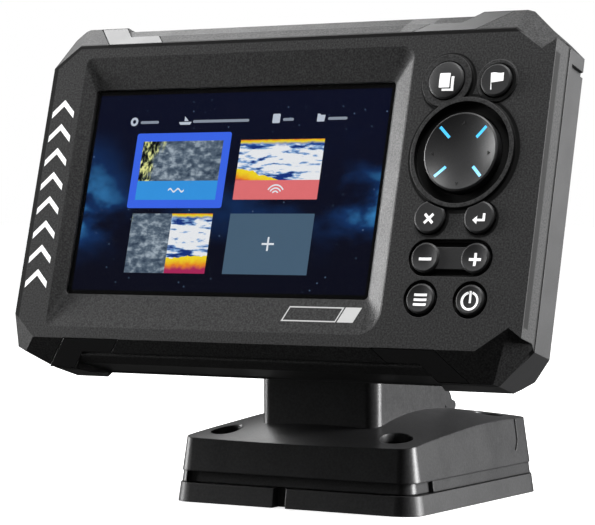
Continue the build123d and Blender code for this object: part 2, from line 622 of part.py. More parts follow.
def groove_ends():
    """Region where the shadow groove is filled: all but the foot's front and right front corner."""
    plan = [(-50, -50), (-39, -50), (-39, -40), (40, -29), (50, -29), (50, 50), (-50, 50)]
    return prism_z(plan, 0, 20)


def turret():
    """Domed cover and neck in one moulding, hollow below, with the pivot hub on its inner floor."""
    body = drafted_block(0, COVER_Z, 36) & crown(0)
    body += drafted_block(GROOVE_DEPTH, PLATE_T + SWIVEL_GAP, COVER_Z + 1)
    body += drafted_block(SKIRT_INSET, PLATE_T + SWIVEL_GAP, COVER_Z + 1) & groove_ends()
    hollow = drafted_block(4.4, PLATE_T, 36) & crown(3.0)
    body -= hollow
    body += neck()
    body -= box(-16, 16, NECK_FRONT + 3.4, NECK_BACK - 3.4, 10, 40)
    body += box(-41, 41, -12, 12, 8, 11) & drafted_block(3, 6, 14)
    body += rod_z(0, 0, 13, PLATE_T + SWIVEL_GAP, 12)
    body -= rod_z(0, 0, PIVOT_R + RUN, 0, 20)
    body -= box(-CHEEK_IN, CHEEK_IN, -40, 5, 52, 90)
    body -= box(-CHEEK_IN, CHEEK_IN, -40, TILT_Y, 49.5, 60)
    body -= boss(TILT_BOLT_R + RUN, -30, 30) + boss(6.0, 16.6, 30) + boss(6.4, -30, -16.6)
    body -= box(-17.4, 17.4, NECK_BACK - 1.2, LEVER_BACK + 2.1, LEVER_LOW - 0.6, 60)
    for x in (-18.4, 18.4):
        body += box(x - 1, x + 1, NECK_BACK - 2, LEVER_Y + 2.4, LEVER_Z - 3, LEVER_Z + 3)
    body -= rod_x(LEVER_Y, LEVER_Z, LEVER_PIN_R, -30, 30)
    for x, y in screw_places():
        body -= rod_z(x, y, SCREW_WELL_R, 10, 40)
    for side in (-1, 1):
        body -= side_slit(side)
    return body


def side_slit(side):
    """Hooked slit in the cover's side wall."""
    x0, x1 = sorted((side * 38.6, side * 46))
    return prism_x([(30.6, 30), (30.6, 17.4), (28.8, 14.6), (29.5, 14.0), (31.5, 17.2), (31.5, 30)], x0, x1)


def swivel_parts():
    parts["swivel_pivot"] = rod_z(0, 0, 11, 1.0, 3.4) + rod_z(0, 0, PIVOT_R, 3.4, 19.5)
    parts["swivel_washer"] = rod_z(0, 0, 11, 12.1, 13.2) - rod_z(0, 0, PIVOT_R, 10, 20)
    parts["wave_washer"] = rod_z(0, 0, 9.5, 13.2, 14.0) - rod_z(0, 0, PIVOT_R, 10, 20)
    nut = extrude(Pos(0, 0, 14.0) * RegularPolygon(10.5, 6), 5.0) - rod_z(0, 0, PIVOT_R, 10, 20)
    parts["pivot_nut"] = nut


def tilt_parts():
    bolt = boss(TILT_BOLT_R, -19.0, 16.6) + boss(5.6, 16.6, 19.6)
    recess = Pos(19.7, TILT_Y, TILT_Z) * Rot(0, 90, 0) * RegularPolygon(2.9, 6)
    parts["tilt_bolt"] = bolt - extrude(recess, -2.2)
    nut = Pos(-19.2, TILT_Y, TILT_Z) * Rot(0, 90, 0) * RegularPolygon(6.0, 6)
    parts["tilt_nut"] = extrude(nut, 2.6) - boss(TILT_BOLT_R, -30, 30)
    discs = [boss(8.0, x, x + 0.7) for x in (-12.2, 11.5)]
    parts["friction_washers"] = Compound([(disc - boss(TILT_BOLT_R, -30, 30)).solid() for disc in discs])


def lever_parts():
    """Release lever on the back of the neck, its pin and the leaf spring that closes it."""
    y, z = LEVER_Y, LEVER_Z
    low, back = LEVER_LOW, LEVER_BACK
    side = [(y - 2.0, z + 4.0), (y + 2.2, z + 4.0), (y + 2.2, z - 4), (y + 2.0, z - 8), (31.6, 31.6),
            (32.6, 29.8), (back - 0.6, low + 2.4), (back, low + 1.6), (back, low + 0.6), (back - 0.6, low),
            (29.4, low), (26.8, low + 2.6), (y - 2.0, z - 8)]
    lever = prism_x(side, -17.0, 17.0) - rod_x(y, z, LEVER_PIN_R + RUN, -20, 20)
    parts["release_lever"] = lever
    parts["lever_pin"] = rod_x(y, z, LEVER_PIN_R, -19.4, 19.4)
    spring = [(NECK_BACK - 1.2, 46), (NECK_BACK - 0.9, 46), (y - 2.1, 36), (y - 2.4, 36)]
    parts["lever_spring"] = prism_x(spring, -5, 5)


def build():
    on_head("front_bezel", add_trims(front_bezel()))
    keypad_keys()
    keypad_stack()
    display_stack()
    electronics()
    on_head("rear_housing", rear_housing())
    on_head("housing_gasket", housing_gasket())
    on_head("housing_screws", housing_screws())
    connectors()
    on_head("cradle", cradle())
    latch_parts()
    parts["dash_plate"] = dash_plate()
    parts["base_pad"] = base_pad()
    parts["turret"] = turret()
    swivel_parts()
    tilt_parts()
    lever_parts()


build()
os.makedirs("parts", exist_ok=True)
for name, shape in parts.items():
    export_step(shape, f"parts/{name}.step")
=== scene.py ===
"""Looks of the marine chartplotter: materials, lit screen, legends, printed marks, floor, lights and camera.

Places on the head are millimetres in the head's own axes: u to the right, y back from the front face and v up
the face, from the face's centre. Everything that reaches Blender is in metres, in the row frame.
"""
import json
import math

import bmesh
import bpy
from mathutils import Matrix, Vector
from mathutils.bvhtree import BVHTree


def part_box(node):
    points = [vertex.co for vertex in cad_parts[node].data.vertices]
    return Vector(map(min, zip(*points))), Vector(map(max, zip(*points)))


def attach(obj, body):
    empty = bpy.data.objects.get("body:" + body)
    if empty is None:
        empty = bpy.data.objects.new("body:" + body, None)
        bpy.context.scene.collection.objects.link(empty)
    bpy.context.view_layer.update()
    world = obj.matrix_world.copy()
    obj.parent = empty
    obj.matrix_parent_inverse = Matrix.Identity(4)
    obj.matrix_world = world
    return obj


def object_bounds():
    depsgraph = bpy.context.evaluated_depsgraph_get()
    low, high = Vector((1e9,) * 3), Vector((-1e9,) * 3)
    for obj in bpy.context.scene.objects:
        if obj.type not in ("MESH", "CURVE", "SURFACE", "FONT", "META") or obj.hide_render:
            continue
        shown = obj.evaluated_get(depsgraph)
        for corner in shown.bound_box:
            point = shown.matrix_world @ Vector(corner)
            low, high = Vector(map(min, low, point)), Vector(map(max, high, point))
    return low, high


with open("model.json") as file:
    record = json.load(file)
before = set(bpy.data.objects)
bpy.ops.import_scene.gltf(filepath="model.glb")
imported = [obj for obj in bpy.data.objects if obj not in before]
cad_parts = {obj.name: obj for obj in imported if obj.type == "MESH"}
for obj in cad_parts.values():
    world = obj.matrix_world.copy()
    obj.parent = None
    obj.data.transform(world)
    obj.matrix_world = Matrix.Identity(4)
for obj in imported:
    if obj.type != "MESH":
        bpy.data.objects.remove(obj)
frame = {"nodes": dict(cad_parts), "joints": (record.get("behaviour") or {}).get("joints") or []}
cad_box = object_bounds()

MM = 0.001

# camera: place in metres, turn about the upright, height of the view above the horizon, lens
CAMERA_PLACE = Vector((0.39754, -0.69687, 0.09237))
CAMERA_YAW = math.radians(31.13)
CAMERA_ELEVATION = math.radians(1.195)
CAMERA_LENS = 149.57

# the cover window's middle in the head's axes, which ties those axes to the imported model
WINDOW_MIDDLE = Vector((-18.5, 4.55, 0.3))

# lit part of the screen
SCREEN_W, SCREEN_H = 108.0, 64.8
SCREEN_U, SCREEN_V = -19.3, 0.6
SCREEN_Y = 5.55                   # between the cover glass and the panel
SCREEN_LAYER = 0.08

# page tiles on the screen
TILE_W, TILE_H = 30.4, 19.3
TILE_LEFT, TILE_TOP = -53.8, 17.2
TILE_STEP_U, TILE_STEP_V = 36.9, 23.8
LABEL_H = 6.2
FRAME_W = 2.7                     # highlight round the chosen tile
MENU_V = 23.9                     # line of small menu items

# printed marks
MARK_LEFT, MARK_RIGHT = -88.1, -79.6
MARK_BOTTOM, MARK_TOP = -32.6, 32.2
MARK_COUNT, MARK_STROKE = 8, 2.1
BADGE_LEFT, BADGE_RIGHT, BADGE_V, BADGE_H = 10.0, 35.0, -38.6, 4.9

MARK_T = 0.06                     # thickness of anything printed
MARK_MESH = 0.7                   # longest mesh edge of a marking, so that it follows a curved surface

# keypad
ZOOM_REACH = 8.15                 # from the rocker's middle to the middle of either end
LEGEND_STROKE = 0.42              # half the width of a line in a legend
PAD_U, PAD_V, PAD_R = 64.0, 10.6, 12.0
DISH = 1.7                        # how much deeper than its solid the pad looks

# looks of the bezel: its painted shadow (black edge lines, black gaps round the keys, a black line where it
# meets the housing) and its glossier recess wall; each pair is where a mask is 0 and where it is 1, along u,
# y or v
FACE_FRONT, FACE_BACK = (-0.7, -0.55), (0.7, 0.3)
LEFT_SHADOW_LINE = (-88.4, -88.7)
TOP_SHADOW_LINE, TOP_SHADOW_LINE_END = (47.3, 47.7), (84.0, 80.0)
CORNER_SHADOW_LINE = (87.5, 87.8)        # painted shadow line along the way below, across the upper left corner
CORNER_WAY = (-0.631, 0.775)
KEYPAD_LEFT, KEYPAD_HALF_H = (47.3, 47.6), (41.5, 41.0)
KEY_GAP_SHADE_FRONT, KEY_GAP_SHADE_BACK = (0.2, 0.7), (4.0, 3.0)
SEAM_SHADOW_SIDE, SEAM_SHADOW_FRONT = (88.6, 89.2), (8.3, 8.6)
WALL_LEFT, WALL_RIGHT, WALL_FRONT = (37.3, 37.6), (47.0, 46.5), (0.15, 0.35)

# shadow gaps round the raised collars and keys: middle and radius, each a little to the lower right
SHADOW_GAPS = ((64.4, 10.3, 18.3), (56.6, 32.4, 9.2), (73.0, 32.0, 5.9), (56.7, -9.6, 5.6), (73.0, -9.6, 5.5))
GAP_EDGE = 0.15

# floor and lights
FLOOR_HALF = 12.0                 # metres
FLOOR_DROP = 0.0001               # metres below the part, so that the two don't lie in one plane
SURROUND_LIGHT = 0.05             # even light from all round; the softboxes do the rest

joints = {joint["name"]: joint for joint in frame["joints"]}
ACROSS = Vector((1, 0, 0))
INWARD = Vector(joints["page_press"]["axis"]).normalized()
UP = Vector(joints["head_slide"]["axis"]).normalized()
AXES = Matrix((ACROSS, INWARD, UP)).transposed()
LEAN = math.atan2(UP.y, UP.z)
window_low, window_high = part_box("display_window")
FACE = (window_low + window_high) / 2 - AXES @ WINDOW_MIDDLE * MM
HEAD = Matrix.Translation(FACE) @ (AXES * MM).to_4x4()


# ---- materials ------------------------------------------------------------------------------------------
def grey(level):
    return (level, level, level, 1)


class Surface:
    """One material being made, with a short call for each kind of node."""

    def __init__(self, name, colour, roughness, metallic=0.0):
        self.material = bpy.data.materials.new(name)
        self.material.use_nodes = True
        self.tree = self.material.node_tree
        self.shader = self.tree.nodes["Principled BSDF"]
        self.set("Base Color", colour)
        self.set("Roughness", roughness)
        self.set("Metallic", metallic)

    def set(self, socket, value):
        """Sets a shader input to a number or colour, or joins another node's output to it."""
        self.fill(self.shader.inputs[socket], value)

    def fill(self, socket, value):
        if isinstance(value, bpy.types.NodeSocket):
            self.tree.links.new(value, socket)
        else:
            socket.default_value = value

    def node(self, kind, inputs=(), **settings):
        made = self.tree.nodes.new(kind)
        for key, value in settings.items():
            setattr(made, key, value)
        for key, value in dict(inputs).items():
            self.fill(made.inputs[key], value)
        return made

    def row_mm(self):
        """The point on the surface in the row frame, in millimetres."""
        place = self.node("ShaderNodeTexCoord").outputs["Object"]
        return self.node("ShaderNodeMapping", {"Vector": place, "Scale": (1 / MM,) * 3}).outputs[0]

    def head_mm(self):
        """The point on the surface in the head's axes, in millimetres."""
        shift = -(AXES.transposed() @ FACE) / MM
        place = self.node("ShaderNodeTexCoord").outputs["Object"]
        turn = {"Vector": place, "Scale": (1 / MM,) * 3, "Rotation": (LEAN, 0, 0), "Location": shift}
        return self.node("ShaderNodeMapping", turn).outputs[0]

    def split(self, vector):
        return self.node("ShaderNodeSeparateXYZ", {0: vector}).outputs

    def noise(self, vector, size, detail=2.0, stretch=(1, 1, 1)):
        """Noise with features of about that many millimetres, from 0 to 1."""
        scaled = self.node("ShaderNodeMapping", {"Vector": vector, "Scale": stretch}).outputs[0]
        inputs = {"Vector": scaled, "Scale": 1 / size, "Detail": detail}
        return self.node("ShaderNodeTexNoise", inputs).outputs["Fac"]

    def cells(self, vector, size):
        """Distance to the nearest of some scattered points, as a share of that many millimetres."""
        return self.node("ShaderNodeTexVoronoi", {"Vector": vector, "Scale": 1 / size}).outputs["Distance"]

    def maths(self, operation, a, b=0.0, clamp=False):
        return self.node("ShaderNodeMath", {0: a, 1: b}, operation=operation, use_clamp=clamp).outputs[0]

    def plus(self, a, b):
        return self.maths("ADD", a, b)

    def minus(self, a, b):
        return self.maths("SUBTRACT", a, b)

    def times(self, a, b, clamp=False):
        return self.maths("MULTIPLY", a, b, clamp)

    def larger(self, a, b, clamp=False):
        return self.maths("MAXIMUM", a, b, clamp)

    def size_of(self, value):
        return self.maths("ABSOLUTE", value)

    def square_from(self, u, v, middle_u, middle_v):
        """Square of the distance from a point of the face."""
        across, up = self.minus(u, middle_u), self.minus(v, middle_v)
        return self.plus(self.times(across, across), self.times(up, up))

    def linked_to(self, socket):
        """Output that a shader input is joined to."""
        return self.shader.inputs[socket].links[0].from_socket

    def span(self, value, low, high, out_low=0.0, out_high=1.0):
        """Carries value from low..high to out_low..out_high with a smooth start and end."""
        inputs = {0: value, 1: low, 2: high, 3: out_low, 4: out_high}
        return self.node("ShaderNodeMapRange", inputs, interpolation_type="SMOOTHSTEP").outputs[0]

    def mix(self, share, a, b):
        made = self.node("ShaderNodeMix", data_type="RGBA")
        self.fill(made.inputs[0], share)
        self.fill(made.inputs[6], a)
        self.fill(made.inputs[7], b)
        return made.outputs[2]

    def ramp(self, value, *stops):
        made = self.node("ShaderNodeValToRGB", {0: value})
        elements = made.color_ramp.elements
        for index, (place, colour) in enumerate(stops):
            element = elements[index] if index < 2 else elements.new(place)
            element.position = place
            element.color = colour
        return made.outputs[0]

    def soft_edges(self, radius):
        """Normal of the surface with its edges broken by a radius in millimetres."""
        return self.node("ShaderNodeBevel", {"Radius": radius * MM}, samples=4).outputs[0]

    def edge_share(self, rounded):
        """1 on an edge and 0 away from one."""
        true = self.node("ShaderNodeNewGeometry").outputs["Normal"]
        along = self.node("ShaderNodeVectorMath", {0: rounded, 1: true}, operation="DOT_PRODUCT")
        return self.span(along.outputs["Value"], 0.995, 0.85)

    def bump(self, height, depth, normal=None):
        """Relief of that depth in millimetres over a height from 0 to 1."""
        inputs = {"Height": height, "Distance": depth * MM, "Strength": 1.0}
        if normal is not None:
            inputs["Normal"] = normal
        self.set("Normal", self.node("ShaderNodeBump", inputs).outputs[0])


def moulded(name, colour, roughness, grain=0.4, depth=0.03, speckle=0.3, radius=0.3, wear=1.5, on_head=True):
    """Moulded plastic: fine grain, faint mottling, and edges that are a little rounder and paler."""
    made = Surface(name, colour, roughness)
    place = made.head_mm() if on_head else made.row_mm()
    fine = made.noise(place, grain, 3.0)
    broad = made.noise(place, 9.0, 3.0)
    dark = tuple(c * (1 - speckle) for c in colour[:3]) + (1,)
    pale = tuple(c * (1 + speckle) for c in colour[:3]) + (1,)
    tone = made.ramp(fine, (0.35, dark), (0.68, pale))
    rounded = made.soft_edges(radius)
    worn = tuple(min(1.0, c * wear + 0.004) for c in colour[:3]) + (1,)
    made.set("Base Color", made.mix(made.edge_share(rounded), tone, worn))
    made.set("Roughness", made.span(broad, 0.3, 0.7, roughness - 0.02, roughness + 0.02))
    made.bump(fine, depth, rounded)
    return made


def metal(name, colour, roughness, grain=0.5, lines=(1, 1, 6)):
    """Turned, drawn or pressed metal with fine marks along one way."""
    made = Surface(name, colour, roughness, 1.0)
    place = made.row_mm()
    marks = made.noise(place, grain, 4.0, lines)
    cloud = made.noise(place, 6.0, 2.0)
    made.set("Base Color", made.mix(cloud, tuple(c * 0.8 for c in colour[:3]) + (1,), colour))
    made.set("Roughness", made.span(marks, 0.2, 0.8, roughness - 0.08, roughness + 0.1))
    made.bump(marks, 0.01, made.soft_edges(0.15))
    return made


def bezel_look():
    """Charcoal face with a spark grain, and painted shadow: black lines along its left and top edges and
    across the upper left corner, black rings round the raised collars and keys, black floors in the gaps
    round the keys, and a black line where it meets the housing.
    """
    made = moulded("bezel_plastic", (0.043, 0.043, 0.0435, 1), 0.55, grain=0.55, depth=0.05, speckle=0.5)
    u, y, v = made.split(made.head_mm())
    # Painted shadow: black lines along the left and top edges and the upper left corner, and black rings in
    # the gaps round the raised collars and keys.
    top_shadow_line = made.times(made.span(v, *TOP_SHADOW_LINE), made.span(u, *TOP_SHADOW_LINE_END))
    across_corner = made.plus(made.times(u, CORNER_WAY[0]), made.times(v, CORNER_WAY[1]))
    lines = made.larger(made.span(u, *LEFT_SHADOW_LINE), top_shadow_line)
    lines = made.larger(lines, made.span(across_corner, *CORNER_SHADOW_LINE))
    for middle_u, middle_v, radius in SHADOW_GAPS:
        square = made.square_from(u, v, middle_u, middle_v)
        lines = made.larger(lines, made.span(square, (radius + GAP_EDGE) ** 2, (radius - GAP_EDGE) ** 2))
    on_face = made.times(made.span(y, *FACE_BACK), made.span(y, *FACE_FRONT))
    # Painted shade: the floors of the gaps round the keys, deeper than the face, go black.
    keypad = made.times(made.span(u, *KEYPAD_LEFT), made.span(made.size_of(v), *KEYPAD_HALF_H))
    key_gap_shade = made.times(made.span(y, *KEY_GAP_SHADE_FRONT), made.span(y, *KEY_GAP_SHADE_BACK))
    dark = made.larger(made.times(lines, on_face), made.times(keypad, key_gap_shade))
    # Painted shadow: a black line on the right side wall where the bezel meets the housing.
    seam_shadow = made.times(made.span(u, *SEAM_SHADOW_SIDE), made.span(y, *SEAM_SHADOW_FRONT))
    black = made.larger(dark, seam_shadow, True)
    made.set("Base Color", made.mix(black, made.linked_to("Base Color"), grey(0.001)))
    wall = made.times(made.span(u, *WALL_LEFT), made.span(u, *WALL_RIGHT))
    wall = made.times(wall, made.span(y, *WALL_FRONT))
    made.set("Roughness", made.minus(made.linked_to("Roughness"), made.times(wall, 0.2)))
    made.set("Specular IOR Level", 0.25)
    return made


def pad_look():
    """Smooth rubber, hollowed like a shallow dish towards the middle."""
    made = moulded("pad_rubber", (0.033, 0.033, 0.034, 1), 0.42, grain=0.25, depth=0.01, speckle=0.2,
                   radius=0.35)
    u, _, v = made.split(made.head_mm())
    rise = made.maths("DIVIDE", made.square_from(u, v, PAD_U, PAD_V), PAD_R ** 2)
    made.bump(rise, DISH, made.linked_to("Normal"))
    return made


def lit_look(name, colour=grey(0.0), roughness=0.4):
    """Part of the lit screen, which shines by itself and reflects nothing."""
    made = Surface(name, colour, roughness)
    made.set("Specular IOR Level", 0.0)
    made.set("Emission Strength", 1.0)
    return made


def screen_look():
    """Night-blue picture with a glow from both sides, drifting haze and stars, black outside the lit area."""
    made = lit_look("lit_screen", grey(0.001), 0.3)
    place = made.head_mm()
    u, _, v = made.split(place)
    sides = made.plus(made.span(u, -52.0, -78.0), made.span(u, 8.0, 40.0))
    level = made.span(made.size_of(made.plus(v, 1.0)), 26.0, 2.0)
    low_glow = made.times(made.span(made.size_of(made.plus(v, 4.0)), 14.0, 1.0), 0.35)
    wisps = made.span(made.noise(place, 26.0, 6.0, (1, 1, 1.6)), 0.42, 0.72)
    glow = made.times(made.plus(made.times(sides, level), low_glow), wisps, True)
    sky = made.ramp(glow, (0.0, (0.0004, 0.001, 0.008, 1)), (0.4, (0.004, 0.03, 0.12, 1)),
                    (1.0, (0.05, 0.3, 0.68, 1)))
    upper = made.mix(made.span(v, -30.0, 30.0, 0.0, 0.5), sky, (0.0008, 0.003, 0.022, 1))
    stars = made.times(made.span(made.cells(place, 3.4), 0.085, 0.03), made.noise(place, 9.0))
    lit = made.mix(stars, upper, (0.25, 0.42, 0.7, 1))
    inside_u = made.span(made.size_of(made.minus(u, SCREEN_U)), SCREEN_W / 2, SCREEN_W / 2 - 0.2)
    inside_v = made.span(made.size_of(made.minus(v, SCREEN_V)), SCREEN_H / 2, SCREEN_H / 2 - 0.2)
    made.set("Emission Color", made.mix(made.times(inside_u, inside_v), grey(0.0), lit))
    return made


def glowing(name, colour):
    """Flat patch of the lit screen, with the panel's faint unevenness."""
    made = lit_look(name)
    dim = tuple(c * 0.94 for c in colour[:3]) + (1,)
    made.set("Emission Color", made.mix(made.noise(made.head_mm(), 5.0), dim, colour))
    return made


def relief_picture(name):
    """Shaded sea-floor chart: grey-blue slopes, with a dark and yellow shallow running down from the left."""
    made = lit_look(name)
    place = made.head_mm()
    u, _, v = made.split(place)
    slope = made.noise(place, 2.2, 6.0, (1.0, 1.0, 1.7))
    deep = made.ramp(slope, (0.3, (0.03, 0.05, 0.085, 1)), (0.5, (0.1, 0.14, 0.19, 1)),
                     (0.7, (0.36, 0.43, 0.5, 1)))
    shallow = made.ramp(made.noise(place, 1.5, 4.0, (1.6, 1.0, 0.8)), (0.42, (0.002, 0.003, 0.004, 1)),
                        (0.52, (0.12, 0.15, 0.08, 1)), (0.62, (0.8, 0.82, 0.3, 1)))
    wander = made.times(made.noise(place, 5.0, 3.0), 12.0)
    lean = made.times(made.minus(v, TILE_TOP), 0.35)
    shore = made.plus(made.minus(made.minus(u, TILE_LEFT), lean), wander)
    made.set("Emission Color", made.mix(made.span(shore, 13.0, 16.0), shallow, deep))
    return made


def sonar_picture(name, top_v, floor_v, floor_tilt):
    """Sonar trace: yellow and blue surface clutter, white water with sparse arcs, and a red sea floor."""
    made = lit_look(name)
    place = made.head_mm()
    u, _, v = made.split(place)
    under = made.minus(top_v, v)
    rough = made.times(made.noise(place, 2.0, 4.0), 2.5)
    depth = made.plus(made.minus(made.plus(rough, made.times(u, floor_tilt)), v), floor_v)
    near_top = made.span(under, 6.0, 1.0, 0.0, 0.16)
    near_floor = made.span(depth, -6.0, 0.0, 0.0, 0.13)
    streaks = made.noise(place, 2.4, 5.0, (0.45, 1.0, 2.0))
    returns = made.minus(made.minus(streaks, near_top), near_floor)
    water = made.ramp(returns, (0.3, (0.006, 0.03, 0.2, 1)), (0.38, (0.22, 0.4, 0.7, 1)),
                      (0.44, (0.83, 0.85, 0.88, 1)))
    clutter = made.ramp(made.plus(made.times(under, 0.3), made.times(rough, 0.12)),
                        (0.1, (0.75, 0.12, 0.02, 1)), (0.35, (0.85, 0.7, 0.02, 1)),
                        (0.6, (0.03, 0.14, 0.5, 1)))
    upper = made.mix(made.span(made.plus(under, rough), 2.0, 3.6), clutter, water)
    floor = made.ramp(made.span(depth, 0.0, 7.0), (0.0, (0.9, 0.7, 0.02, 1)), (0.35, (0.8, 0.22, 0.02, 1)),
                      (0.65, (0.4, 0.02, 0.1, 1)))
    made.set("Emission Color", made.mix(made.span(depth, -0.1, 0.1), upper, floor))
    return made


def glass_look():
    """Clear cover glass with a faint coating."""
    made = Surface("cover_glass", grey(1.0), 0.03)
    smears = made.noise(made.head_mm(), 14.0, 3.0)
    made.set("Roughness", made.span(smears, 0.35, 0.75, 0.015, 0.05))
    made.set("Transmission Weight", 1.0)
    made.set("IOR", 1.5)
    return made


def board_look():
    """Green solder mask with darker tracks and a scatter of bright pads."""
    made = Surface("circuit_board", (0.02, 0.16, 0.08, 1), 0.35)
    place = made.head_mm()
    tracks = made.span(made.cells(place, 2.4), 0.45, 0.5)
    pads = made.span(made.cells(place, 1.7), 0.16, 0.12)
    green = made.mix(tracks, (0.01, 0.11, 0.05, 1), (0.025, 0.2, 0.1, 1))
    made.set("Base Color", made.mix(pads, green, (0.6, 0.55, 0.4, 1)))
    made.bump(pads, 0.04)
    return made


def light_guide_look():
    """Clear blue light pipe, brighter towards the foot of the pad."""
    made = Surface("light_guide", (0.1, 0.5, 0.85, 1), 0.3)
    place = made.head_mm()
    v = made.split(place)[2]
    flicker = made.noise(place, 2.0)
    low = made.times(made.span(v, 8.0, 3.0), made.span(flicker, 0.3, 0.7, 0.7, 1.0))
    made.set("Emission Color", made.mix(low, (0.045, 0.46, 0.84, 1), (0.55, 0.86, 0.98, 1)))
    made.set("Emission Strength", 1.0)
    return made


def ink_look(name, level, glow=0.0):
    """White marking that shines by itself by the glow given: backlit light on the keys, and a painted glow on
    printed marks.
    """
    made = Surface(name, grey(level), 0.5)
    cloud = made.noise(made.head_mm(), 1.2, 3.0)
    made.set("Base Color", made.mix(cloud, grey(level * 0.93), grey(level)))
    made.set("Emission Color", grey(level))
    made.set("Emission Strength", glow)
    made.bump(cloud, 0.005)
    return made


LOOKS = {
    "bezel": bezel_look(),
    "housing": moulded("housing_plastic", (0.04, 0.04, 0.041, 1), 0.42, grain=0.3, depth=0.012, speckle=0.15),
    "trim": moulded("trim_plastic", (0.034, 0.034, 0.035, 1), 0.35, grain=0.3, depth=0.008, speckle=0.15,
                    radius=0.2),
    "key": moulded("key_rubber", (0.03, 0.03, 0.031, 1), 0.5, grain=0.25, depth=0.01, speckle=0.2,
                   radius=0.35),
    "pad": pad_look(),
    "well": moulded("actuator_plastic", (0.02, 0.02, 0.02, 1), 0.5),
    "cover": moulded("bracket_plastic", (0.028, 0.028, 0.029, 1), 0.36, grain=0.7, depth=0.03, speckle=0.3,
                     radius=0.6, on_head=False),
    "foot": moulded("foot_plastic", (0.024, 0.024, 0.025, 1), 0.45, grain=0.7, depth=0.04, speckle=0.3,
                    radius=0.4, on_head=False),
    "cradle": moulded("cradle_plastic", (0.026, 0.026, 0.027, 1), 0.45, grain=0.6, depth=0.03, speckle=0.3),
    "seal": moulded("seal_rubber", (0.012, 0.012, 0.012, 1), 0.75, grain=0.2, depth=0.02, speckle=0.2),
    "steel": metal("plated_steel", (0.56, 0.56, 0.57, 1), 0.32),
    "shield": metal("tin_plate", (0.66, 0.66, 0.65, 1), 0.3, 1.2, (1, 1, 1)),
    "brass": metal("pin_plating", (0.78, 0.6, 0.28, 1), 0.25),
    "film": moulded("white_film", (0.7, 0.71, 0.73, 1), 0.4, speckle=0.05, wear=1.0),
    "screen": screen_look(),
    "glass": glass_look(),
    "board": board_look(),
    "light": light_guide_look(),
}
NODE_LOOKS = {
    "bezel": ["front_bezel"],
    "housing": ["rear_housing"],
    "trim": ["trim_top_left", "trim_top_right", "trim_bottom_left", "trim_bottom_right"],
    "key": ["page_key", "waypoint_key", "exit_key", "enter_key", "menu_key", "power_key", "zoom_rocker"],
    "pad": ["dpad_cap"],
    "well": ["dpad_actuator", "buzzer", "power_socket", "sonar_socket", "power_insert", "sonar_insert"],
    "cover": ["turret", "release_lever"],
    "foot": ["dash_plate"],
    "cradle": ["cradle", "head_latch"],
    "seal": ["keypad_mat", "key_domes", "window_gasket", "housing_gasket", "socket_seals", "breather_vent",
             "base_pad"],
    "steel": ["housing_screws", "board_screws", "latch_spring", "lever_spring", "lever_pin", "tilt_bolt",
              "tilt_nut", "friction_washers", "swivel_pivot", "swivel_washer", "wave_washer", "pivot_nut"],
    "shield": ["processor_shield", "lcd_chassis"],
    "brass": ["power_pins", "sonar_pins"],
    "film": ["lcd_backlight", "lcd_flex", "keypad_flex", "gps_antenna"],
    "screen": ["lcd_panel"],
    "glass": ["display_window"],
    "board": ["main_board", "keypad_board"],
    "light": ["dpad_light_guide"],
}


def dress_nodes():
    """Gives every CAD node its material."""
    for look, names in NODE_LOOKS.items():
        for name in names:
            data = frame["nodes"][name].data
            data.materials.clear()
            data.materials.append(LOOKS[look].material)


# ---- flat outlines, in (u, v) millimetres ---------------------------------------------------------------
def rectangle(left, right, bottom, top, radius=0.0, steps=5):
    """Rectangle with rounded corners."""
    if radius == 0:
        return [(left, bottom), (right, bottom), (right, top), (left, top)]
    corners = [(right - radius, bottom + radius, -90), (right - radius, top - radius, 0),
               (left + radius, top - radius, 90), (left + radius, bottom + radius, 180)]
    points = []
    for u, v, start in corners:
        for k in range(steps + 1):
            angle = math.radians(start + 90 * k / steps)
            points.append((u + radius * math.cos(angle), v + radius * math.sin(angle)))
    return points


def disc(u, v, radius, steps=40):
    turns = [2 * math.pi * k / steps for k in range(steps)]
    return [(u + radius * math.cos(a), v + radius * math.sin(a)) for a in turns]


def open_ring(inner, outer, start, end, steps=40):
    """Part of a ring about the origin, between two angles in degrees."""
    turns = [math.radians(start + (end - start) * k / steps) for k in range(steps + 1)]
    out = [(outer * math.cos(a), outer * math.sin(a)) for a in turns]
    return out + [(inner * math.cos(a), inner * math.sin(a)) for a in reversed(turns)]


def turned(points, angle):
    c, s = math.cos(math.radians(angle)), math.sin(math.radians(angle))
    return [(u * c - v * s, u * s + v * c) for u, v in points]


def moved(points, du, dv):
    return [(u + du, v + dv) for u, v in points]


# ---- flat pieces ----------------------------------------------------------------------------------------
def flat_mesh(name, outlines, thickness):
    """Closed plate with those outlines; an outline inside another is a hole."""
    curve = bpy.data.curves.new(name, "CURVE")
    curve.dimensions = "2D"
    curve.fill_mode = "BOTH"
    curve.extrude = thickness / 2
    for outline in outlines:
        spline = curve.splines.new("POLY")
        spline.points.add(len(outline) - 1)
        for point, (u, v) in zip(spline.points, outline):
            point.co = (u, v, 0, 1)
        spline.use_cyclic_u = True
    stand_in = bpy.data.objects.new(name + "_outline", curve)
    mesh = bpy.data.meshes.new_from_object(stand_in)
    bpy.data.objects.remove(stand_in)
    bpy.data.curves.remove(curve)
    mesh.name = name
    return mesh


def add_piece(name, mesh, look, body):
    piece = bpy.data.objects.new(name, mesh)
    bpy.context.scene.collection.objects.link(piece)
    mesh.materials.clear()
    mesh.materials.append(look.material)
    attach(piece, body)
    return piece


def screen_patch(name, outlines, look, layer=0):
    """Flat patch of the picture, a layer nearer to the glass for each step."""
    mesh = flat_mesh(name, outlines, SCREEN_LAYER / 2)
    y = SCREEN_Y - layer * SCREEN_LAYER
    for vertex in mesh.vertices:
        u, v, rise = vertex.co
        vertex.co = HEAD @ Vector((u, y - rise, v))
    return add_piece("screen_" + name, mesh, look, "head")


def surface_tree(node):
    data = frame["nodes"][node].data
    return BVHTree.FromPolygons([v.co for v in data.vertices], [p.vertices for p in data.polygons])


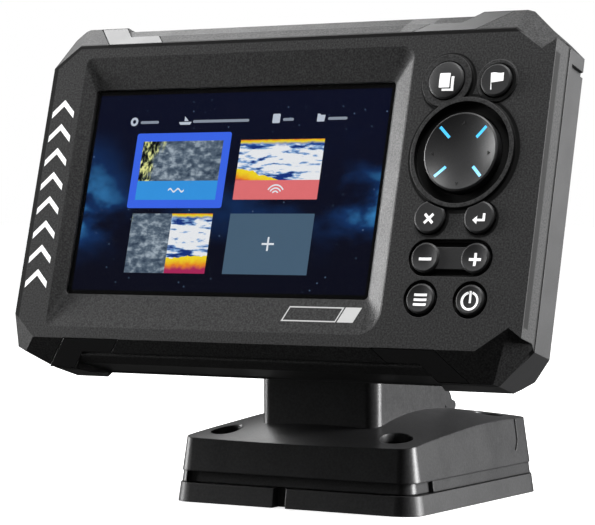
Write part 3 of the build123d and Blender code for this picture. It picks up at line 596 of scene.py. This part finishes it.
def laid_on(name, outlines, node, body, look, at=(0, 0)):
    """Thin marking that follows the surface of a CAD node, as seen from the front."""
    mesh = flat_mesh(name, outlines, MARK_T)
    work = bmesh.new()
    work.from_mesh(mesh)
    bmesh.ops.triangulate(work, faces=work.faces)
    for _ in range(2):
        long_edges = [edge for edge in work.edges if edge.calc_length() > MARK_MESH]
        bmesh.ops.subdivide_edges(work, edges=long_edges, cuts=1)
        bmesh.ops.triangulate(work, faces=work.faces)
    tree = surface_tree(node)
    for vertex in work.verts:
        u, v, rise = vertex.co
        in_front = HEAD @ Vector((u + at[0], -20, v + at[1]))
        hit = tree.ray_cast(in_front, INWARD)[0]
        vertex.co = hit - INWARD * (MARK_T / 4 + rise) * MM
    work.to_mesh(mesh)
    work.free()
    return add_piece(name, mesh, look, body)


def key_middle(node):
    """Middle of a key in (u, v)."""
    low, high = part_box(node)
    middle = HEAD.inverted() @ ((low + high) / 2)
    return middle.x, middle.z


# ---- what the screen shows ------------------------------------------------------------------------------
def tile(column, row, grow=0.0):
    left = TILE_LEFT + column * TILE_STEP_U - grow
    top = TILE_TOP - row * TILE_STEP_V + grow
    return left, left + TILE_W + 2 * grow, top - TILE_H - 2 * grow, top


def wave(left, right, middle, height, turns, thick, steps=24):
    """Wavy band, used in place of words."""
    top, low = [], []
    for k in range(steps + 1):
        u = left + (right - left) * k / steps
        v = middle + height * math.sin(2 * math.pi * turns * k / steps)
        top.append((u, v + thick / 2))
        low.append((u, v - thick / 2))
    return low + top[::-1]


def tile_label(name, place, look):
    """Band along the foot of a tile; gives back the middle of it."""
    left, right, bottom, _ = place
    screen_patch(name, [rectangle(left, right, bottom, bottom + LABEL_H)], look)
    return (left + right) / 2, bottom + LABEL_H / 2


def chart_tile(white, relief):
    """The chosen tile, with its highlight: a chart."""
    place = tile(0, 0)
    left, right, bottom, top = place
    blue = glowing("screen_blue", (0.045, 0.14, 0.86, 1))
    screen_patch("chosen_frame", [rectangle(*tile(0, 0, FRAME_W), radius=0.8), rectangle(*place)], blue)
    screen_patch("chart_tile", [rectangle(left, right, bottom + LABEL_H, top)], relief)
    middle, caption = tile_label("chart_label", place, glowing("screen_label_blue", (0.036, 0.31, 0.79, 1)))
    screen_patch("chart_sign", [wave(middle - 3, middle + 3, caption, 0.5, 2, 0.55)], white, 1)


def sonar_tile(white):
    place = tile(1, 0)
    left, right, bottom, top = place
    picture = sonar_picture("screen_sonar", TILE_TOP, 2.6, -0.25)
    screen_patch("sonar_tile", [rectangle(left, right, bottom + LABEL_H, top)], picture)
    middle, caption = tile_label("sonar_label", place, glowing("screen_label_coral", (0.78, 0.17, 0.18, 1)))
    arcs = [moved(open_ring(r, r + 0.45, 30, 150, 12), middle, caption - 1.6) for r in (0.9, 1.9, 2.9)]
    screen_patch("sonar_sign", arcs, white, 1)


def split_tile(relief):
    """Half chart, half sonar."""
    left, right, bottom, top = tile(0, 1)
    middle = (left + right) / 2
    picture = sonar_picture("screen_sonar_deep", TILE_TOP - TILE_STEP_V, -20.5, 0.04)
    screen_patch("split_chart", [rectangle(left, middle, bottom, top)], relief)
    screen_patch("split_sonar", [rectangle(middle, right, bottom, top)], picture)


def empty_tile(white):
    """Slate tile with a plus of half length 2.2 and half width 0.3."""
    left, right, bottom, top = tile(1, 1)
    middle, level = (left + right) / 2, (bottom + top) / 2
    slate = glowing("screen_slate", (0.065, 0.12, 0.185, 1))
    screen_patch("empty_tile", [rectangle(left, right, bottom, top)], slate)
    cross = [rectangle(middle - 2.2, middle + 2.2, level - 0.3, level + 0.3),
             rectangle(middle - 0.3, middle + 0.3, level + 0.35, level + 2.2),
             rectangle(middle - 0.3, middle + 0.3, level - 2.2, level - 0.35)]
    screen_patch("empty_plus", cross, white, 1)


def page_tiles():
    white = glowing("screen_white", (0.8, 0.84, 0.9, 1))
    relief = relief_picture("screen_chart")
    chart_tile(white, relief)
    sonar_tile(white)
    split_tile(relief)
    empty_tile(white)


def menu_line():
    """Four small signs, each with a plain bar beside it."""
    pale = glowing("screen_pale", (0.52, 0.58, 0.68, 1))
    gear = [disc(-58.6, MENU_V, 1.45, 24), disc(-58.6, MENU_V, 0.65, 16)]
    boat = [(-40.8, MENU_V - 1.3), (-37.0, MENU_V - 1.3), (-36.5, MENU_V - 0.4), (-41.3, MENU_V - 0.4)]
    sail = [(-39.3, MENU_V - 0.1), (-37.7, MENU_V - 0.1), (-39.3, MENU_V + 1.5)]
    sheet = rectangle(-6.4, -3.7, MENU_V - 1.4, MENU_V + 1.6, 0.3)
    folder = [(9.7, MENU_V - 1.2), (12.3, MENU_V - 1.2), (12.5, MENU_V + 0.9), (10.9, MENU_V + 0.9),
              (10.6, MENU_V + 1.3), (9.7, MENU_V + 1.3)]
    for name, outlines in (("gear", gear), ("boat", [boat, sail]), ("sheet", [sheet]), ("folder", [folder])):
        screen_patch("sign_" + name, outlines, pale)
    bars = {"settings": (-56.1, -49.1), "routes": (-36.0, -15.0), "notes": (-2.6, 1.3),
            "storage": (13.6, 20.4)}
    dim = glowing("screen_dim", (0.26, 0.3, 0.37, 1))
    for name, (left, right) in bars.items():
        screen_patch("bar_" + name, [rectangle(left, right, MENU_V - 0.75, MENU_V + 0.15, 0.4)], dim)


# ---- legends and printed marks --------------------------------------------------------------------------
def flag_outline(steps=10):
    """Flag on its pole, with a wave along its upper edge."""
    shares = [k / steps for k in range(steps + 1)]
    top = [(-1.75 + 4.2 * k, 2.55 + 0.12 * math.sin(2 * math.pi * k)) for k in shares]
    low = [(2.55 - 3.9 * k, 0.05 - 0.45 * k) for k in shares]
    return top + low + [(-1.0, -2.6), (-1.35, -2.6)]


def key_legends():
    """Backlit signs on the six round keys and on both ends of the zoom rocker."""
    white = ink_look("legend_white", 0.86, 0.7)
    stroke = LEGEND_STROKE
    arm = rectangle(-1.95, 1.95, -stroke, stroke)
    upper = rectangle(-stroke, stroke, stroke + 0.02, 1.95)
    lower = rectangle(-stroke, stroke, -1.95, -stroke - 0.02)
    plus = [arm, upper, lower]
    legends = {
        "page": [rectangle(-1.75, 1.75, -2.1, 2.35, 0.25),
                 [(2.2, 1.3), (3.05, 1.3), (3.05, -3.1), (-0.7, -3.1), (-0.7, -2.45), (2.2, -2.45)]],
        "waypoint": [flag_outline()],
        "exit": [turned(part, 45) for part in plus],
        "enter": [[(1.3, 1.5), (2.1, 1.5), (2.1, -0.85), (-0.5, -0.85), (-0.5, -1.75), (-1.95, -0.5),
                   (-0.5, 0.75), (-0.5, -0.15), (1.3, -0.15)]],
        "menu": [rectangle(-2.1, 2.1, dv - 0.38, dv + 0.38) for dv in (1.45, 0, -1.45)],
        "power": [open_ring(2.15, 2.85, 105, 435), rectangle(-0.33, 0.33, -0.6, 2.95)],
    }
    for key, outlines in legends.items():
        node = key + "_key"
        laid_on("legend_" + key, outlines, node, key + "_button", white, key_middle(node))
    u, v = key_middle("zoom_rocker")
    minus = [rectangle(-2.05, 2.05, -stroke, stroke)]
    laid_on("legend_minus", minus, "zoom_rocker", "zoom", white, (u - ZOOM_REACH, v))
    laid_on("legend_plus", plus, "zoom_rocker", "zoom", white, (u + ZOOM_REACH, v))


def pad_arrows():
    """Four dark arrowheads near the pad's rim."""
    dark = moulded("arrow_ink", (0.006, 0.006, 0.006, 1), 0.6, speckle=0.1)
    middle = key_middle("dpad_cap")
    for k, side in enumerate(("right", "up", "left", "down")):
        arrow = turned([(9.9, 0), (8.8, 0.65), (8.8, -0.65)], 90 * k)
        laid_on("arrow_" + side, [arrow], "dpad_cap", "dpad", dark, middle)


def chevrons():
    """Plain printed chevrons up the left of the face, with a painted glow that keeps them bright."""
    step = (MARK_TOP - MARK_BOTTOM) / MARK_COUNT
    middle, rise = (MARK_LEFT + MARK_RIGHT) / 2, step - MARK_STROKE - 1.9
    bars = []
    for k in range(MARK_COUNT):
        low = MARK_BOTTOM + k * step
        edge = [(MARK_LEFT, low), (middle, low + rise), (MARK_RIGHT, low)]
        bars.append(edge + [(u, v + MARK_STROKE) for u, v in reversed(edge)])
    # The printed white glows: a painted highlight.
    laid_on("mark_bars", bars, "front_bezel", "head", ink_look("printed_white_painted_glow", 0.84, 0.7))


def badge():
    """Slanted outline with a solid block at its right end, below the screen, in silver with a painted glow.
    """
    left, right, half, slant = BADGE_LEFT, BADGE_RIGHT, BADGE_H / 2, 0.9
    line, block, gap = 0.4, 6.0, 0.5
    end = right - block
    outer = [(left - slant, -half), (end - slant, -half), (end + slant, half), (left + slant, half)]
    inner = [(left - slant + line * 1.6, line - half), (end - slant - line * 0.6, line - half),
             (end + slant - line * 1.6, half - line), (left + slant + line * 0.6, half - line)]
    solid = [(end - slant + gap, -half), (right - slant, -half), (right + slant, half),
             (end + slant + gap, half)]
    # The silver glows: a painted highlight in place of a metal sheen.
    silver = ink_look("badge_silver_painted_glow", 0.5, 0.45)
    laid_on("mark_badge", [outer, inner, solid], "front_bezel", "head", silver, (0, BADGE_V))


# ---- floor, lights and camera ---------------------------------------------------------------------------
def make_floor():
    """Pale floor with a faint mottle, brighter with distance so that it runs into the white surroundings."""
    corners = [(x * FLOOR_HALF, y * FLOOR_HALF, 0) for x, y in ((-1, -1), (1, -1), (1, 1), (-1, 1))]
    mesh = bpy.data.meshes.new("floor")
    mesh.from_pydata(corners, [], [(0, 1, 2, 3)])
    floor = bpy.data.objects.new("floor", mesh)
    floor.location.z = -FLOOR_DROP
    floor.visible_diffuse = False
    floor.visible_glossy = False
    bpy.context.scene.collection.objects.link(floor)
    made = Surface("pale_floor", grey(0.86), 0.8)
    place = made.row_mm()
    made.set("Base Color", made.mix(made.noise(place, 40.0), grey(0.84), grey(0.88)))
    reach = made.node("ShaderNodeVectorMath", {0: place}, operation="LENGTH").outputs["Value"]
    made.set("Emission Color", made.mix(made.span(reach, 120.0, 420.0), grey(0.72), grey(1.0)))
    made.set("Emission Strength", 1.0)
    mesh.materials.append(made.material)


def softbox(name, azimuth, elevation, distance, width, height, power):
    """Area light that looks at the middle of the object: degrees, metres and watts.

    Azimuth 0 is in front of the object and 90 to its right.
    """
    a, e = math.radians(azimuth), math.radians(elevation)
    way = Vector((math.sin(a) * math.cos(e), -math.cos(a) * math.cos(e), math.sin(e)))
    data = bpy.data.lights.new(name, "AREA")
    data.shape = "RECTANGLE"
    data.size, data.size_y = width, height
    data.energy = power
    lamp = bpy.data.objects.new(name, data)
    lamp.location = (cad_box[0] + cad_box[1]) / 2 + way * distance
    lamp.rotation_mode = "QUATERNION"
    lamp.rotation_quaternion = way.to_track_quat("Z", "Y")
    lamp.visible_camera = False
    bpy.context.scene.collection.objects.link(lamp)


def make_world():
    """White surroundings for the eye, and a dim, even light on the object."""
    world = bpy.data.worlds.new("studio")
    bpy.context.scene.world = world
    world.use_nodes = True
    tree = world.node_tree
    seen = tree.nodes["Background"]
    seen.inputs["Color"].default_value = grey(1.0)
    light = tree.nodes.new("ShaderNodeBackground")
    light.inputs["Color"].default_value = grey(SURROUND_LIGHT)
    path = tree.nodes.new("ShaderNodeLightPath")
    choice = tree.nodes.new("ShaderNodeMixShader")
    tree.links.new(path.outputs["Is Camera Ray"], choice.inputs[0])
    tree.links.new(light.outputs[0], choice.inputs[1])
    tree.links.new(seen.outputs[0], choice.inputs[2])
    tree.links.new(choice.outputs[0], tree.nodes["World Output"].inputs["Surface"])


def make_camera():
    """Long lens, nearly level, from the front right of the object."""
    data = bpy.data.cameras.new("camera")
    data.lens = CAMERA_LENS
    data.clip_start, data.clip_end = 0.01, 50
    camera = bpy.data.objects.new("camera", data)
    back = Vector((math.sin(CAMERA_YAW) * math.cos(CAMERA_ELEVATION),
                   -math.cos(CAMERA_YAW) * math.cos(CAMERA_ELEVATION), math.sin(CAMERA_ELEVATION)))
    camera.location = CAMERA_PLACE
    camera.rotation_mode = "QUATERNION"
    camera.rotation_quaternion = back.to_track_quat("Z", "Y")
    bpy.context.scene.collection.objects.link(camera)
    bpy.context.scene.camera = camera


make_camera()
make_world()
make_floor()
softbox("light_top_left_back", -118, 46, 0.45, 0.3, 0.25, 1.3)
softbox("light_left", -79, 9, 0.8, 0.25, 0.5, 6.6)
softbox("light_right", 114, 8, 1.1, 0.45, 0.7, 36.0)
softbox("light_front", 34, 71, 0.9, 0.5, 0.5, 9.0)
dress_nodes()
page_tiles()
menu_line()
key_legends()
pad_arrows()
chevrons()
badge()

bpy.context.scene.view_settings.view_transform = "Standard"
bpy.context.view_layer.update()
